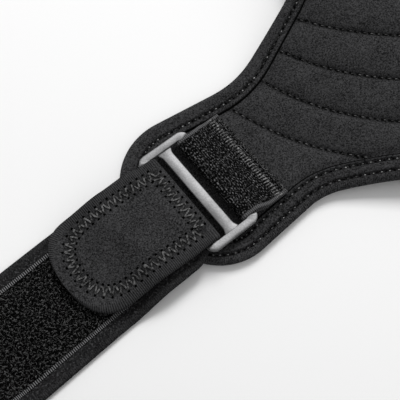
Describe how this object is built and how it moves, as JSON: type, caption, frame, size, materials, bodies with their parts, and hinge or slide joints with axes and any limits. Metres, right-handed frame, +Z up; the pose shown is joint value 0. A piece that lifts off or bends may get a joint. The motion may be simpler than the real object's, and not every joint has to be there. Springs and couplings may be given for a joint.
{
  "type": "shoulder brace",
  "caption": "Padded shoulder brace with quilted pad, chest strap threaded through metal slides, folded hook-and-loop ends and an arm sleeve",
  "frame": {"origin": "on the table under the middle of the whole brace, which lies face up", "axes": "+Z up from the table, +Y from the chest loop towards the arm sleeve, +X to the wearer's right as it lies; the brace is alike on both sides of x = 0"},
  "size_m": [0.5004, 0.4966, 0.0602],
  "materials": {
    "padding": "matte charcoal knit faced foam",
    "edging": "matte stretch knit binding with light stitches",
    "webbing": "matte charcoal knit faced foam strap",
    "elastic": "woven elastic with raised cross rows",
    "pile": "curly loop pile",
    "hook": "stiff hook tape",
    "metal": "satin cast metal, softly rounded"
  },
  "bodies": {
    "root": {"shoulder_panel": "padding", "panel_binding": "edging", "arm_sleeve": "padding", "sleeve_binding": "edging", "chest_strap": "webbing", "strap_pile": "pile", "front_tab": "elastic", "back_tab": "elastic", "front_hook_patch": "hook", "back_hook_patch": "hook", "front_ring": "metal", "back_ring": "metal"}
  },
  "joints": []
}
